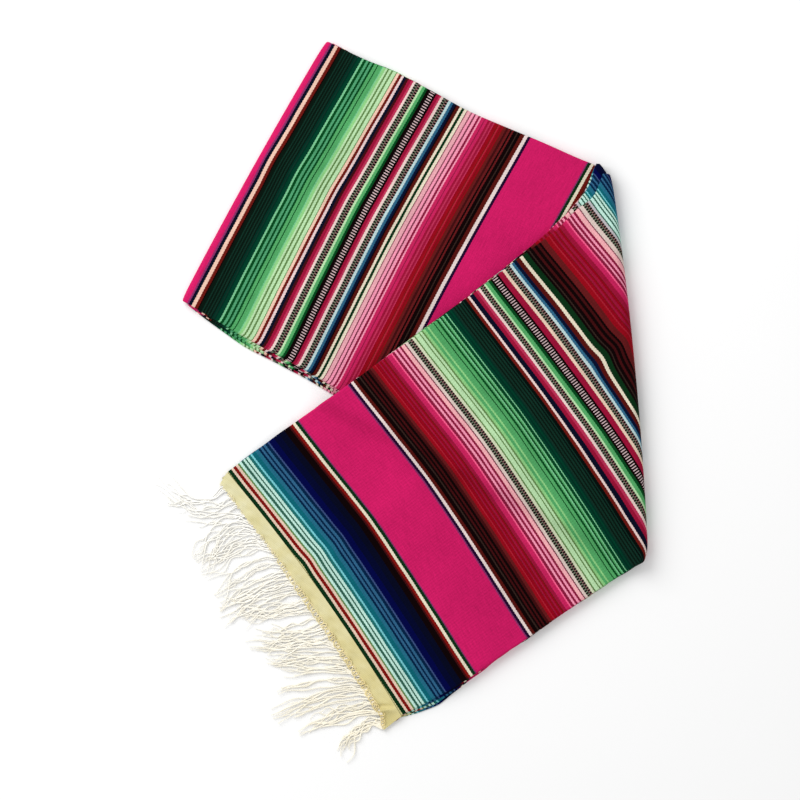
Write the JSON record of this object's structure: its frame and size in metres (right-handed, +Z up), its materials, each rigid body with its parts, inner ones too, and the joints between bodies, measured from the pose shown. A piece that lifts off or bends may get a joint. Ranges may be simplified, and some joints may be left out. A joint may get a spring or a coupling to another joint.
{
  "type": "mexican serape",
  "caption": "Folded striped wool-type blanket: a long strip of plies doubled and turned back by a diagonal fold, with a cream heading and a knotted fringe at the free end.",
  "frame": {"origin": "middle of the folded cloth's box, on the surface that it rests on", "axes": "+Z up from the surface, +Y along the longer side of the folded cloth, from the fringe to the lower arm's doubled end, and +X towards the diagonal fold"},
  "size_m": [0.6266, 0.9061, 0.0257],
  "materials": {
    "striped_cloth": "matt weft-faced weave in pink, red, black, green, blue and cream stripes",
    "folded_layers": "the same striped weave, seen at the folded edges",
    "cream_heading": "plain cream weave, slightly crumpled",
    "ivory_fringe": "soft twisted cotton warp ends"
  },
  "bodies": {
    "root": {"lower_panel": "striped_cloth", "upper_panel": "striped_cloth", "lower_layers": "folded_layers", "upper_layers": "folded_layers", "heading": "cream_heading", "fringe": "ivory_fringe"}
  },
  "joints": []
}
